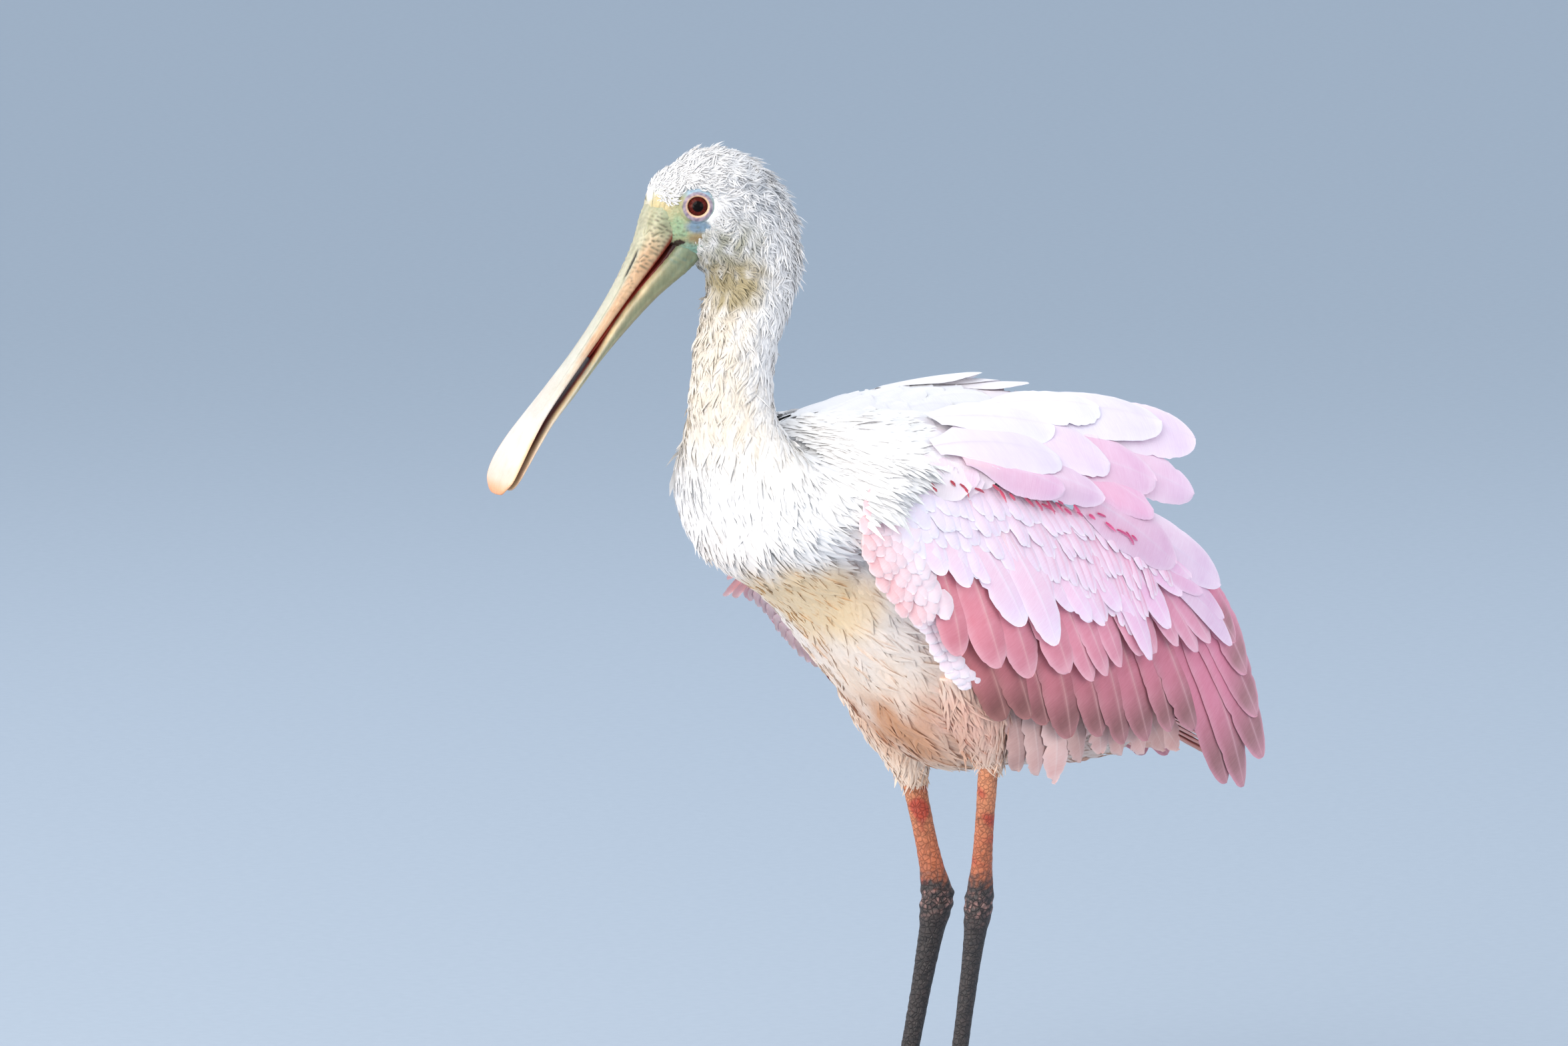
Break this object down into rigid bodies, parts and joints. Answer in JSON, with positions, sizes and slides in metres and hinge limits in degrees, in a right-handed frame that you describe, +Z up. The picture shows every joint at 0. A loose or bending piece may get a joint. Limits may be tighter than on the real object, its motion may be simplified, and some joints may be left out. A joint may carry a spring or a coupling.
{
  "type": "roseate spoonbill figure",
  "caption": "Life-size wading bird with a long flattened spoon bill, pink drooped wings and bare legs, standing still on two flat-soled feet.",
  "frame": {"origin": "on the floor under the middle of the box round the whole bird", "axes": "+X the way the breast faces, +Y the bird's left, +Z up"},
  "size_m": [0.4344, 0.1564, 0.5026],
  "materials": {
    "down": "soft white down",
    "feather": "satin pink feather",
    "horn": "satin horn",
    "eye": "wet gloss",
    "leg_skin": "matt scaly skin",
    "dark_skin": "matt scaly skin"
  },
  "bodies": {
    "root": {"head": "down", "neck_upper": "down", "neck_lower": "down", "torso": "down", "thigh_left": "down", "thigh_right": "down", "tail": "feather", "wing_left": "feather", "wing_right": "feather", "bill_upper": "horn", "bill_lower": "horn", "eye_left": "eye", "eye_right": "eye", "shank_left": "leg_skin", "shank_right": "leg_skin", "tarsus_left": "dark_skin", "tarsus_right": "dark_skin", "foot_left": "dark_skin", "foot_right": "dark_skin"}
  },
  "joints": []
}
